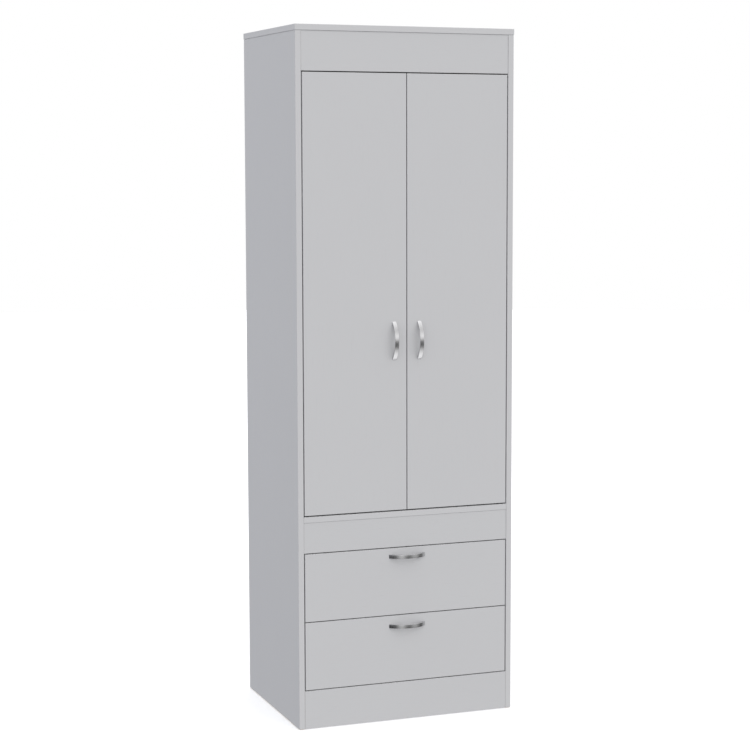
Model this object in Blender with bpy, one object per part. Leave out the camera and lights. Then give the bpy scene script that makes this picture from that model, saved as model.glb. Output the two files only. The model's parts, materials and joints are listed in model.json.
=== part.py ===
# A tall two-door wardrobe with two drawers under the doors, built of 15 mm melamine-faced board.
# Units are metres. The cabinet faces -Y, stands on z = 0 and is centred on the origin.
import math

import bmesh
import bpy
from mathutils import Vector

# Overall sizes
CABINET_HEIGHT = 1.800
CABINET_WIDTH = 0.594
SIDE_DEPTH = 0.450

# Boards
SIDE_THICKNESS = 0.015
TOP_THICKNESS = 0.015
TOP_OVERHANG = 0.001
FLOOR_THICKNESS = 0.015
BASE_THICKNESS = 0.015
RAIL_THICKNESS = 0.015
HEADER_HEIGHT = 0.0997
HEADER_SET_BACK = 0.001
MID_RAIL_HEIGHT = 0.0791
MID_RAIL_SET_BACK = 0.001
PLINTH_HEIGHT = 0.0994
BACK_THICKNESS = 0.003
BACK_EDGE_MARGIN = 0.002
BACK_GROUND_MARGIN = 0.010
EDGE_ROUNDING = 0.0006
SEAT_GAP = 0.0003

# Fronts: inset, so each one has a gap all round it
DOOR_THICKNESS = 0.015
DOOR_MEETING_GAP = 0.0024
DOOR_TOP_GAP = 0.0029
DOOR_BOTTOM_GAP = 0.0034
DRAWER_FRONT_THICKNESS = 0.015
DRAWER_FRONT_HEIGHT = 0.1765
DRAWER_SIDE_GAP = 0.0027
DRAWER_FRONT_GAP = 0.0024

# Glides nailed under the side panels
GLIDE_RADIUS = 0.0072
GLIDE_HEIGHT = 0.0017
GLIDE_INSET = 0.030

# Bow pulls
PULL_LENGTH = 0.1005
PULL_REACH = 0.0215
PULL_WIDTH = 0.0108
PULL_THICKNESS = 0.0026
PULL_FOOT_LENGTH = 0.009
PULL_ROUNDING = 0.0007
PULL_STEPS = 28
DOOR_PULL_HEIGHT = 0.4410
DOOR_PULL_INSET = 0.0333
UPPER_PULL_DROP = 0.0215
LOWER_PULL_DROP = 0.0274

# Concealed hinges. The pivot's inset is measured from the door's hinge edge.
DOOR_SWING = 95.0
HINGE_PIVOT_INSET = 0.0140
CORNER_CLEARANCE = 0.00118
HINGE_END_OFFSET = 0.100
CUP_RADIUS = 0.0172
CUP_DEPTH = 0.0112
CUP_WALL = 0.0008
CUP_EDGE_WALL = 0.0045
CUP_FLANGE_THICKNESS = 0.0009
CUP_FLANGE_WIDTH = 0.0015
CUP_WING_HALF_HEIGHT = 0.026
CUP_WING_NEAR = -0.004
CUP_WING_FAR = 0.0165
PIN_RADIUS = 0.0009
PIN_CLEARANCE = 0.0001
EYE_RADIUS = 0.0018
EYE_CLEARANCE = 0.0003
STRAP_THICKNESS = 0.0016
STRAP_HALF_HEIGHT = 0.006
STRAP_RISE_ANGLE = 22.0
STRAP_BEND_RADIUS = 0.0022
SWING_CLEARANCE = 0.0012
CRANK_CLEARANCE = 0.0032
ARM_STANDOFF = 0.0152
ARM_THICKNESS = 0.005
ARM_HALF_HEIGHT = 0.007
ARM_LENGTH = 0.058
PLATE_SET_BACK = 0.037
PLATE_THICKNESS = 0.0018
PLATE_HALF_WIDTH = 0.006
PLATE_WING_HALF_HEIGHT = 0.024
PLATE_RAIL_HALF_HEIGHT = 0.0055
PLATE_RAIL_LENGTH = 0.046

# Drawer boxes and their side slides
DRAWER_WALL = 0.012
DRAWER_BOX_HEIGHT = 0.120
DRAWER_REAR_SPACE = 0.0347
DRAWER_BOX_RISE = 0.020
DRAWER_BOTTOM_THICKNESS = 0.003
GROOVE_CLEARANCE = 0.0003
GROOVE_DEPTH = 0.006
GROOVE_RISE = 0.010
SLIDE_SPACE = 0.0127
SLIDE_SET_BACK = 0.003
SLIDE_END_SPACE = 0.002
SLIDE_SHEET = 0.0012
CHANNEL_BOTTOM = -0.004
CHANNEL_TOP = 0.019
CHANNEL_CLEARANCE = 0.0012
RUNNER_TOP = 0.014
RUNNER_CLEARANCE = 0.0014
RUNNER_SHELF = 0.010

# Hanging rod
ROD_RADIUS = 0.0125
ROD_WALL = 0.0012
ROD_DROP = 0.060
SOCKET_FLANGE_RADIUS = 0.026
SOCKET_FLANGE_THICKNESS = 0.003
SOCKET_COLLAR_DEPTH = 0.013
SOCKET_COLLAR_WALL = 0.0025
ROD_CLEARANCE = 0.0004
ROUND_STEPS = 32

# Places worked out from the sizes above
OVERALL_DEPTH = PULL_REACH + SEAT_GAP + SIDE_DEPTH + SEAT_GAP + BACK_THICKNESS
FRONT_Y = PULL_REACH + SEAT_GAP - OVERALL_DEPTH / 2
REAR_Y = FRONT_Y + SIDE_DEPTH
OUTER_X = CABINET_WIDTH / 2
INNER_X = OUTER_X - SIDE_THICKNESS
GROUND_Z = GLIDE_HEIGHT + SEAT_GAP
TOP_UNDERSIDE = CABINET_HEIGHT - TOP_THICKNESS
CARCASS_TOP = TOP_UNDERSIDE - SEAT_GAP
PLINTH_TOP = GROUND_Z + PLINTH_HEIGHT
DRAWER_PITCH = DRAWER_FRONT_HEIGHT + DRAWER_FRONT_GAP
LOWER_FRONT_Z = PLINTH_TOP + DRAWER_FRONT_GAP
UPPER_FRONT_Z = LOWER_FRONT_Z + DRAWER_PITCH
MID_RAIL_Z = UPPER_FRONT_Z + DRAWER_PITCH
FLOOR_Z = MID_RAIL_Z + MID_RAIL_HEIGHT + SEAT_GAP
FLOOR_TOP = FLOOR_Z + FLOOR_THICKNESS
HEADER_Z = CARCASS_TOP - HEADER_HEIGHT
DOOR_Z = FLOOR_TOP + DOOR_BOTTOM_GAP
DOOR_HEIGHT = HEADER_Z - DOOR_TOP_GAP - DOOR_Z
HINGE_PIVOT_DEPTH = DOOR_THICKNESS - CUP_DEPTH + CUP_WALL + EYE_CLEARANCE + EYE_RADIUS
CORNER_SWEEP = math.hypot(HINGE_PIVOT_INSET, HINGE_PIVOT_DEPTH) - HINGE_PIVOT_INSET
DOOR_SIDE_GAP = CORNER_SWEEP + CORNER_CLEARANCE
DOOR_OUTER_X = INNER_X - DOOR_SIDE_GAP
DOOR_INNER_X = DOOR_MEETING_GAP / 2
CUP_EDGE_DISTANCE = CUP_EDGE_WALL + CUP_RADIUS + SEAT_GAP
PIVOT_X = DOOR_OUTER_X - HINGE_PIVOT_INSET
PIVOT_Y = FRONT_Y + HINGE_PIVOT_DEPTH
DRAWER_BOX_LENGTH = SIDE_DEPTH - DRAWER_FRONT_THICKNESS - SEAT_GAP - DRAWER_REAR_SPACE
SLIDE_LENGTH = DRAWER_BOX_LENGTH - SLIDE_SET_BACK - SLIDE_END_SPACE
SLIDE_ROOM = SLIDE_SPACE - SEAT_GAP - SLIDE_SHEET
CHANNEL_DEPTH = SLIDE_ROOM - CHANNEL_CLEARANCE
RUNNER_REACH = SLIDE_ROOM - RUNNER_CLEARANCE
ROD_Z = TOP_UNDERSIDE - HEADER_HEIGHT - ROD_DROP
ROD_Y = (FRONT_Y + DOOR_THICKNESS + REAR_Y) / 2


def clear_scene():
    for obj in list(bpy.data.objects):
        bpy.data.objects.remove(obj, do_unlink=True)


def make_material(name, colour, roughness, metallic=0.0):
    material = bpy.data.materials.new(name)
    material.use_nodes = True
    shader = material.node_tree.nodes["Principled BSDF"]
    shader.inputs["Base Color"].default_value = (*colour, 1.0)
    shader.inputs["Roughness"].default_value = roughness
    shader.inputs["Metallic"].default_value = metallic
    material.diffuse_color = (*colour, 1.0)
    return material


def add_object(name, mesh, material, place, parent=None, turn=0.0):
    # place is in world coordinates, and turn is about the object's own Y axis
    obj = bpy.data.objects.new(name, mesh)
    bpy.context.scene.collection.objects.link(obj)
    obj.data.materials.clear()
    obj.data.materials.append(material)
    obj.parent = parent
    obj.location = Vector(place) - (parent.location if parent else Vector())
    obj.rotation_euler = (0.0, turn, 0.0)
    return obj


def add_empty(name, place):
    empty = bpy.data.objects.new(name, None)
    empty.location = place
    bpy.context.scene.collection.objects.link(empty)
    return empty


def mesh_from(bm, name):
    bmesh.ops.recalc_face_normals(bm, faces=bm.faces)
    mesh = bpy.data.meshes.new(name)
    bm.to_mesh(mesh)
    bm.free()
    return mesh


def box_mesh(name, low, high):
    bm = bmesh.new()
    bmesh.ops.create_cube(bm, size=1.0)
    low = Vector(low)
    high = Vector(high)
    bmesh.ops.scale(bm, vec=high - low, verts=bm.verts)
    bmesh.ops.translate(bm, vec=(low + high) / 2, verts=bm.verts)
    return mesh_from(bm, name)


def prism_mesh(name, outline, start, end, along):
    # outline holds the two coordinates across the axis named by along, in x, y, z order
    axis = "XYZ".index(along)
    bm = bmesh.new()
    corners = []
    for point in outline:
        place = list(point)
        place.insert(axis, start)
        corners.append(bm.verts.new(place))
    face = bm.faces.new(corners)
    swept = bmesh.ops.extrude_face_region(bm, geom=[face])
    moved = [item for item in swept["geom"] if isinstance(item, bmesh.types.BMVert)]
    shift = [0.0, 0.0, 0.0]
    shift[axis] = end - start
    bmesh.ops.translate(bm, vec=shift, verts=moved)
    return mesh_from(bm, name)


def circle(radius, centre=(0.0, 0.0), steps=ROUND_STEPS):
    turns = [2 * math.pi * step / steps for step in range(steps)]
    return [(centre[0] + radius * math.cos(a), centre[1] + radius * math.sin(a)) for a in turns]


def turned_mesh(name, profile, steps=ROUND_STEPS):
    # profile is a closed run of (radius, x) points, turned about the X axis
    bm = bmesh.new()
    verts = [bm.verts.new((x, radius, 0.0)) for radius, x in profile]
    edges = [bm.edges.new((a, b)) for a, b in zip(verts, verts[1:] + verts[:1])]
    bmesh.ops.spin(
        bm,
        geom=verts + edges,
        cent=(0, 0, 0),
        axis=(1, 0, 0),
        angle=2 * math.pi,
        steps=steps,
        use_merge=True,
    )
    bmesh.ops.remove_doubles(bm, verts=bm.verts, dist=1e-6)
    return mesh_from(bm, name)


def combined(name, base, *changes):
    # Each change is a mesh and the way it joins the base: UNION or DIFFERENCE
    helpers = [bpy.data.objects.new(name, base)]
    bpy.context.scene.collection.objects.link(helpers[0])
    for mesh, operation in changes:
        helper = bpy.data.objects.new(mesh.name, mesh)
        bpy.context.scene.collection.objects.link(helper)
        helpers.append(helper)
        modifier = helpers[0].modifiers.new(mesh.name, "BOOLEAN")
        modifier.operation = operation
        modifier.object = helper
    graph = bpy.context.evaluated_depsgraph_get()
    result = bpy.data.meshes.new_from_object(helpers[0].evaluated_get(graph))
    for helper in helpers:
        bpy.data.objects.remove(helper, do_unlink=True)
    result.name = name
    return result


def smooth(mesh):
    mesh.shade_smooth()
    mesh.set_sharp_from_angle(angle=math.radians(30))


def round_edges(obj, width=EDGE_ROUNDING, segments=2):
    modifier = obj.modifiers.new("edges", "BEVEL")
    modifier.width = width
    modifier.segments = segments
    modifier.limit_method = "ANGLE"
    modifier.angle_limit = math.radians(50)


def add_board(name, low, high, material, parent=None):
    centre = (Vector(low) + Vector(high)) / 2
    half = (Vector(high) - Vector(low)) / 2
    board = add_object(name, box_mesh(name, -half, half), material, centre, parent)
    round_edges(board)
    return board


def add_carcass(board):
    for name, sign in (("left_side_panel", -1), ("right_side_panel", 1)):
        faces = sorted((sign * OUTER_X, sign * INNER_X))
        add_board(
            name,
            (faces[0], FRONT_Y, GROUND_Z),
            (faces[1], REAR_Y, CARCASS_TOP),
            board,
        )
    add_board(
        "top_panel",
        (-OUTER_X - TOP_OVERHANG, FRONT_Y - TOP_OVERHANG, TOP_UNDERSIDE),
        (OUTER_X + TOP_OVERHANG, REAR_Y, CABINET_HEIGHT),
        board,
    )
    span = INNER_X - SEAT_GAP
    levels = (
        ("header_rail", HEADER_SET_BACK, HEADER_Z, HEADER_HEIGHT),
        ("mid_rail", MID_RAIL_SET_BACK, MID_RAIL_Z, MID_RAIL_HEIGHT),
        ("plinth", 0.0, GROUND_Z, PLINTH_HEIGHT),
    )
    for name, set_back, bottom, height in levels:
        front = FRONT_Y + set_back
        add_board(
            name,
            (-span, front, bottom),
            (span, front + RAIL_THICKNESS, bottom + height),
            board,
        )
    add_board(
        "wardrobe_floor",
        (-span, FRONT_Y, FLOOR_Z),
        (span, REAR_Y, FLOOR_TOP),
        board,
    )
    add_board(
        "base_panel",
        (-span, FRONT_Y + RAIL_THICKNESS + SEAT_GAP, PLINTH_TOP - BASE_THICKNESS),
        (span, REAR_Y, PLINTH_TOP),
        board,
    )


def add_backs(hardboard):
    half = OUTER_X - BACK_EDGE_MARGIN
    front = REAR_Y + SEAT_GAP
    seam = FLOOR_Z + FLOOR_THICKNESS / 2
    sheets = (
        ("back_panel_lower", GROUND_Z + BACK_GROUND_MARGIN, seam - SEAT_GAP),
        ("back_panel_upper", seam + SEAT_GAP, CABINET_HEIGHT - BACK_EDGE_MARGIN),
    )
    for name, bottom, top in sheets:
        low = (-half, front, bottom)
        high = (half, front + BACK_THICKNESS, top)
        centre = (Vector(low) + Vector(high)) / 2
        size = (Vector(high) - Vector(low)) / 2
        add_object(name, box_mesh(name, -size, size), hardboard, centre)


def add_glides(plastic):
    mesh = prism_mesh("glide", circle(GLIDE_RADIUS, steps=20), 0.0, GLIDE_HEIGHT, "Z")
    smooth(mesh)
    middle = (OUTER_X + INNER_X) / 2
    for side, sign in (("left", -1), ("right", 1)):
        for end, y in (("front", FRONT_Y + GLIDE_INSET), ("rear", REAR_Y - GLIDE_INSET)):
            add_object(f"glide_{end}_{side}", mesh, plastic, (sign * middle, y, 0.0))


def add_rod(chrome, plastic):
    seat = INNER_X - SEAT_GAP
    base = SOCKET_FLANGE_THICKNESS
    collar = ROD_RADIUS + ROD_CLEARANCE
    # The socket's profile starts at its back face, on the side panel, and its mouth faces +X
    profile = (
        (0.0, 0.0),
        (SOCKET_FLANGE_RADIUS, 0.0),
        (SOCKET_FLANGE_RADIUS, base),
        (collar + SOCKET_COLLAR_WALL, base),
        (collar + SOCKET_COLLAR_WALL, SOCKET_COLLAR_DEPTH),
        (collar, SOCKET_COLLAR_DEPTH),
        (collar, base),
        (0.0, base),
    )
    socket = turned_mesh("rod_socket", profile)
    smooth(socket)
    add_object("rod_socket_left", socket, plastic, (-seat, ROD_Y, ROD_Z))
    add_object("rod_socket_right", socket, plastic, (seat, ROD_Y, ROD_Z), turn=math.pi)
    half = seat - base - SEAT_GAP
    tube = turned_mesh(
        "hanging_rod",
        (
            (ROD_RADIUS, -half),
            (ROD_RADIUS, half),
            (ROD_RADIUS - ROD_WALL, half),
            (ROD_RADIUS - ROD_WALL, -half),
        ),
    )
    smooth(tube)
    add_object("hanging_rod", tube, chrome, (0.0, ROD_Y, ROD_Z))


def bow_outline():
    # Side view of a pull lying along the first coordinate, its reach along the second
    def arc(half_chord, rise, sign):
        radius = (half_chord**2 + rise**2) / (2 * rise)
        half_angle = math.asin(half_chord / radius)
        points = []
        for step in range(PULL_STEPS + 1):
            angle = sign * half_angle * (2 * step / PULL_STEPS - 1)
            along = radius * math.sin(angle)
            points.append((along, rise - radius * (1 - math.cos(angle))))
        return points

    half = PULL_LENGTH / 2
    outer = arc(half, PULL_REACH, 1)
    inner = arc(half - PULL_FOOT_LENGTH, PULL_REACH - PULL_THICKNESS, -1)
    return outer + inner


def pull_mesh(name, upright):
    outline = [(along, -reach) for along, reach in bow_outline()]
    half = PULL_WIDTH / 2
    if upright:
        flipped = [(reach, along) for along, reach in outline]
        mesh = prism_mesh(name, flipped, -half, half, "X")
    else:
        mesh = prism_mesh(name, outline, -half, half, "Z")
    smooth(mesh)
    return mesh


def add_pull(name, mesh, metal, x, z, parent):
    pull = add_object(name, mesh, metal, (x, FRONT_Y - SEAT_GAP, z), parent)
    round_edges(pull, PULL_ROUNDING, 1)


def rounded_path(corners, radius, steps=4):
    # Each inner corner of the path becomes a short arc
    path = [Vector(corners[0])]
    for before, corner, after in zip(corners, corners[1:], corners[2:]):
        corner = Vector(corner)
        back = (Vector(before) - corner).normalized()
        ahead = (Vector(after) - corner).normalized()
        half_angle = back.angle(ahead) / 2
        reach = radius / math.tan(half_angle)
        centre = corner + (back + ahead).normalized() * (radius / math.sin(half_angle))
        start = corner + back * reach - centre
        end = corner + ahead * reach - centre
        for step in range(steps + 1):
            spoke = start.lerp(end, step / steps).normalized() * radius
            path.append(centre + spoke)
    path.append(Vector(corners[-1]))
    return path


def strip_outline(path, thickness):
    # Both faces of a strap that follows the path
    left = []
    right = []
    for index, point in enumerate(path):
        before = path[max(index - 1, 0)]
        after = path[min(index + 1, len(path) - 1)]
        ahead = (after - before).normalized()
        across = Vector((-ahead.y, ahead.x)) * thickness / 2
        left.append(tuple(point + across))
        right.append(tuple(point - across))
    return left + right[::-1]


def cup_mesh():
    # The origin is on the pivot, +Y points into the cabinet and +X away from the hinge edge
    centre = CUP_EDGE_DISTANCE - HINGE_PIVOT_INSET
    seat = DOOR_THICKNESS - HINGE_PIVOT_DEPTH + SEAT_GAP
    bottom = seat - SEAT_GAP - CUP_DEPTH
    rim = seat + CUP_FLANGE_THICKNESS
    place = (centre, 0.0)
    barrel = prism_mesh("cup_barrel", circle(CUP_RADIUS, place), bottom, rim, "Y")
    flange = prism_mesh("cup_flange", circle(CUP_RADIUS + CUP_FLANGE_WIDTH, place), seat, rim, "Y")
    wings = box_mesh(
        "cup_wings",
        (centre + CUP_WING_NEAR, seat, -CUP_WING_HALF_HEIGHT),
        (centre + CUP_WING_FAR, rim, CUP_WING_HALF_HEIGHT),
    )
    inside = circle(CUP_RADIUS - CUP_WALL, place)
    hollow = prism_mesh("cup_hollow", inside, bottom + CUP_WALL, rim + CUP_DEPTH, "Y")
    chord = math.sqrt((CUP_RADIUS - CUP_WALL / 2) ** 2 - centre**2)
    pin = prism_mesh("cup_pin", circle(PIN_RADIUS, steps=12), -chord, chord, "Z")
    mesh = combined(
        "hinge_cup",
        barrel,
        (flange, "UNION"),
        (wings, "UNION"),
        (hollow, "DIFFERENCE"),
        (pin, "UNION"),
    )
    smooth(mesh)
    return mesh


def swing_radius():
    # How far the door's rear hinge-side corner is from the pivot
    return math.hypot(HINGE_PIVOT_INSET, DOOR_THICKNESS - HINGE_PIVOT_DEPTH)


def arm_start():
    # Local y where the straight part of the arm begins, behind the corner's swing
    return swing_radius() + SWING_CLEARANCE + STRAP_THICKNESS / 2


def arm_middle():
    # Local x of the arm's middle plane
    return ARM_STANDOFF - DOOR_SIDE_GAP - HINGE_PIVOT_INSET


def arm_mesh():
    corner_angle = math.atan2(DOOR_THICKNESS - HINGE_PIVOT_DEPTH, -HINGE_PIVOT_INSET)
    corner_angle -= math.radians(DOOR_SWING)
    crank = swing_radius() * math.cos(corner_angle) + STRAP_THICKNESS / 2 + CRANK_CLEARANCE
    rise = crank * math.tan(math.radians(STRAP_RISE_ANGLE))
    start = arm_start()
    middle = arm_middle()
    corners = (
        (0.0, 0.0),
        (crank, rise),
        (crank, start),
        (middle, start),
        (middle, start + ARM_LENGTH / 2),
    )
    path = rounded_path(corners, STRAP_BEND_RADIUS)
    height = STRAP_HALF_HEIGHT
    strap = prism_mesh("strap", strip_outline(path, STRAP_THICKNESS), -height, height, "Z")
    eye = prism_mesh("eye", circle(EYE_RADIUS, steps=20), -height, height, "Z")
    bore_radius = PIN_RADIUS + PIN_CLEARANCE
    bore = prism_mesh("bore", circle(bore_radius, steps=20), -2 * height, 2 * height, "Z")
    channel = box_mesh(
        "channel",
        (middle - ARM_THICKNESS / 2, start + STRAP_THICKNESS, -ARM_HALF_HEIGHT),
        (middle + ARM_THICKNESS / 2, start + ARM_LENGTH, ARM_HALF_HEIGHT),
    )
    mesh = combined(
        "hinge_arm",
        strap,
        (channel, "UNION"),
        (eye, "UNION"),
        (bore, "DIFFERENCE"),
    )
    smooth(mesh)
    return mesh


def plate_mesh():
    seat = SEAT_GAP - DOOR_SIDE_GAP - HINGE_PIVOT_INSET
    top = arm_middle() - ARM_THICKNESS / 2 - SEAT_GAP
    screws = DOOR_THICKNESS - HINGE_PIVOT_DEPTH + PLATE_SET_BACK
    rail = PLATE_RAIL_LENGTH / 2
    wing = box_mesh(
        "wing",
        (seat, screws - PLATE_HALF_WIDTH, -PLATE_WING_HALF_HEIGHT),
        (seat + PLATE_THICKNESS, screws + PLATE_HALF_WIDTH, PLATE_WING_HALF_HEIGHT),
    )
    block = box_mesh(
        "block",
        (seat, screws - rail, -PLATE_RAIL_HALF_HEIGHT),
        (top, screws + rail, PLATE_RAIL_HALF_HEIGHT),
    )
    return combined("hinge_plate", wing, (block, "UNION"))


def hinge_heights():
    bottom = DOOR_Z + HINGE_END_OFFSET
    top = DOOR_Z + DOOR_HEIGHT - HINGE_END_OFFSET
    return (("lower", bottom), ("middle", (bottom + top) / 2), ("upper", top))


def add_doors(board, metal, steel):
    cup = cup_mesh()
    arm = arm_mesh()
    plate = plate_mesh()
    for side, sign in (("left", -1), ("right", 1)):
        pivot = (sign * PIVOT_X, PIVOT_Y, DOOR_Z)
        axis = add_empty(f"{side}_door_axis", pivot)
        faces = sorted((sign * DOOR_OUTER_X, sign * DOOR_INNER_X))
        door = add_board(
            f"{side}_door_panel",
            (faces[0], FRONT_Y, DOOR_Z),
            (faces[1], FRONT_Y + DOOR_THICKNESS, DOOR_Z + DOOR_HEIGHT),
            board,
            axis,
        )
        turn = 0.0 if side == "left" else math.pi
        cup_x = sign * (DOOR_OUTER_X - CUP_EDGE_DISTANCE)
        for level, z in hinge_heights():
            place = (sign * PIVOT_X, PIVOT_Y, z)
            add_object(f"{side}_hinge_cup_{level}", cup, steel, place, axis, turn)
            add_object(f"{side}_hinge_arm_{level}", arm, steel, place, None, turn)
            add_object(f"{side}_hinge_plate_{level}", plate, steel, place, None, turn)
            bore_cup(door, f"{side}_cup_bore_{level}", cup_x, z, axis)
        pull = pull_mesh(f"{side}_door_pull", upright=True)
        pull_x = sign * (DOOR_INNER_X + DOOR_PULL_INSET)
        add_pull(f"{side}_door_pull", pull, metal, pull_x, DOOR_Z + DOOR_PULL_HEIGHT, axis)


def bore_cup(door, name, x, z, axis):
    # A blind hole from the door's rear face
    radius = CUP_RADIUS + SEAT_GAP
    depth = CUP_DEPTH + SEAT_GAP
    mesh = prism_mesh(name, circle(radius), -depth, depth, "Y")
    cutter = bpy.data.objects.new(name, mesh)
    bpy.context.scene.collection.objects.link(cutter)
    cutter.parent = axis
    cutter.location = Vector((x, FRONT_Y + DOOR_THICKNESS, z)) - axis.location
    cutter.hide_render = True
    cutter.display_type = "WIRE"
    modifier = door.modifiers.new(name, "BOOLEAN")
    modifier.operation = "DIFFERENCE"
    modifier.object = cutter


def channel_outline(sign):
    # Cabinet half of a slide: a channel open towards the drawer
    seat = INNER_X - SEAT_GAP
    web = seat - SLIDE_SHEET
    lip = INNER_X - CHANNEL_DEPTH
    points = (
        (seat, CHANNEL_BOTTOM),
        (seat, CHANNEL_TOP),
        (lip, CHANNEL_TOP),
        (lip, CHANNEL_TOP - SLIDE_SHEET),
        (web, CHANNEL_TOP - SLIDE_SHEET),
        (web, CHANNEL_BOTTOM + SLIDE_SHEET),
        (lip, CHANNEL_BOTTOM + SLIDE_SHEET),
        (lip, CHANNEL_BOTTOM),
    )
    return [(sign * x, z) for x, z in points]


def runner_outline(sign):
    # Drawer half of a slide: it wraps the drawer side's lower edge and reaches into the channel
    wall = INNER_X - SLIDE_SPACE
    web = wall + SEAT_GAP
    under = -SEAT_GAP
    points = (
        (web, under),
        (wall - RUNNER_SHELF, under),
        (wall - RUNNER_SHELF, under - SLIDE_SHEET),
        (web + SLIDE_SHEET, under - SLIDE_SHEET),
        (web + SLIDE_SHEET, RUNNER_TOP - SLIDE_SHEET),
        (wall + RUNNER_REACH, RUNNER_TOP - SLIDE_SHEET),
        (wall + RUNNER_REACH, RUNNER_TOP),
        (web, RUNNER_TOP),
    )
    return [(sign * x, z) for x, z in points]


def side_outline(sign):
    # Drawer side with the groove that holds the bottom
    outer = INNER_X - SLIDE_SPACE
    inner = outer - DRAWER_WALL
    floor = inner + GROOVE_DEPTH
    groove_top = GROOVE_RISE + DRAWER_BOTTOM_THICKNESS + 2 * GROOVE_CLEARANCE
    points = (
        (outer, 0.0),
        (outer, DRAWER_BOX_HEIGHT),
        (inner, DRAWER_BOX_HEIGHT),
        (inner, groove_top),
        (floor, groove_top),
        (floor, GROOVE_RISE),
        (inner, GROOVE_RISE),
        (inner, 0.0),
    )
    return [(sign * x, z) for x, z in points]


def add_drawer(name, front_z, pull_drop, pull, finishes):
    board, hardboard, metal, enamel = finishes
    slide = add_empty(f"{name}_slide", (0.0, FRONT_Y, front_z))
    box_z = front_z + DRAWER_BOX_RISE
    box_front = FRONT_Y + DRAWER_FRONT_THICKNESS + SEAT_GAP
    box_rear = box_front + DRAWER_BOX_LENGTH
    half_front = INNER_X - DRAWER_SIDE_GAP
    inner = INNER_X - SLIDE_SPACE - DRAWER_WALL
    half_bottom = inner + GROOVE_DEPTH - GROOVE_CLEARANCE
    groove = box_z + GROOVE_RISE
    groove_top = groove + DRAWER_BOTTOM_THICKNESS + 2 * GROOVE_CLEARANCE

    front = add_board(
        f"{name}_front",
        (-half_front, FRONT_Y, front_z),
        (half_front, FRONT_Y + DRAWER_FRONT_THICKNESS, front_z + DRAWER_FRONT_HEIGHT),
        board,
        slide,
    )
    cut_front_groove(front, name, half_bottom, groove, groove_top, slide)
    for side, sign in (("left", -1), ("right", 1)):
        wall = prism_mesh(f"{name}_side_{side}", side_outline(sign), 0.0, DRAWER_BOX_LENGTH, "Y")
        add_object(f"{name}_side_{side}", wall, board, (0.0, box_front, box_z), slide)
        start = FRONT_Y + DRAWER_FRONT_THICKNESS + SLIDE_SET_BACK
        place = (0.0, start, box_z)
        channel = prism_mesh(f"{name}_channel_{side}", channel_outline(sign), 0.0, SLIDE_LENGTH, "Y")
        runner = prism_mesh(f"{name}_runner_{side}", runner_outline(sign), 0.0, SLIDE_LENGTH, "Y")
        add_object(f"{name}_channel_{side}", channel, enamel, place)
        add_object(f"{name}_runner_{side}", runner, enamel, place, slide)
    add_board(
        f"{name}_back",
        (-inner + SEAT_GAP, box_rear - DRAWER_WALL, groove_top),
        (inner - SEAT_GAP, box_rear, box_z + DRAWER_BOX_HEIGHT),
        board,
        slide,
    )
    tongue = FRONT_Y + DRAWER_FRONT_THICKNESS - GROOVE_DEPTH + GROOVE_CLEARANCE
    bottom_z = groove + GROOVE_CLEARANCE
    low = Vector((-half_bottom, tongue, bottom_z))
    high = Vector((half_bottom, box_rear, bottom_z + DRAWER_BOTTOM_THICKNESS))
    half = (high - low) / 2
    sheet = box_mesh(f"{name}_bottom", -half, half)
    add_object(f"{name}_bottom", sheet, hardboard, (low + high) / 2, slide)
    pull_z = front_z + DRAWER_FRONT_HEIGHT - pull_drop
    add_pull(f"{name}_pull", pull, metal, 0.0, pull_z, slide)


def cut_front_groove(front, name, half, bottom, top, slide):
    # The drawer bottom's front edge sits in this groove
    rear = FRONT_Y + DRAWER_FRONT_THICKNESS
    low = Vector((-half - GROOVE_CLEARANCE, rear - GROOVE_DEPTH, bottom))
    high = Vector((half + GROOVE_CLEARANCE, rear + GROOVE_DEPTH, top))
    size = (high - low) / 2
    cutter = bpy.data.objects.new(f"{name}_groove", box_mesh(f"{name}_groove", -size, size))
    bpy.context.scene.collection.objects.link(cutter)
    cutter.parent = slide
    cutter.location = (low + high) / 2 - slide.location
    cutter.hide_render = True
    cutter.display_type = "WIRE"
    modifier = front.modifiers.new("groove", "BOOLEAN")
    modifier.operation = "DIFFERENCE"
    modifier.object = cutter


def build():
    clear_scene()
    board = make_material("white_melamine", (0.62, 0.62, 0.63), 0.55)
    hardboard = make_material("white_hardboard", (0.60, 0.60, 0.59), 0.70)
    nickel = make_material("satin_nickel", (0.62, 0.62, 0.63), 0.28, 1.0)
    steel = make_material("hinge_steel", (0.55, 0.55, 0.56), 0.30, 1.0)
    chrome = make_material("chrome", (0.75, 0.75, 0.76), 0.12, 1.0)
    enamel = make_material("slide_enamel", (0.72, 0.72, 0.70), 0.40)
    plastic = make_material("white_plastic", (0.70, 0.70, 0.69), 0.45)
    add_carcass(board)
    add_backs(hardboard)
    add_glides(plastic)
    add_rod(chrome, plastic)
    add_doors(board, nickel, steel)
    pull = pull_mesh("drawer_pull", upright=False)
    finishes = (board, hardboard, nickel, enamel)
    add_drawer("lower_drawer", LOWER_FRONT_Z, LOWER_PULL_DROP, pull, finishes)
    add_drawer("upper_drawer", UPPER_FRONT_Z, UPPER_PULL_DROP, pull, finishes)


build()
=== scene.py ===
import json
import math

import bmesh
import bpy
from mathutils import Matrix, Vector

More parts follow.
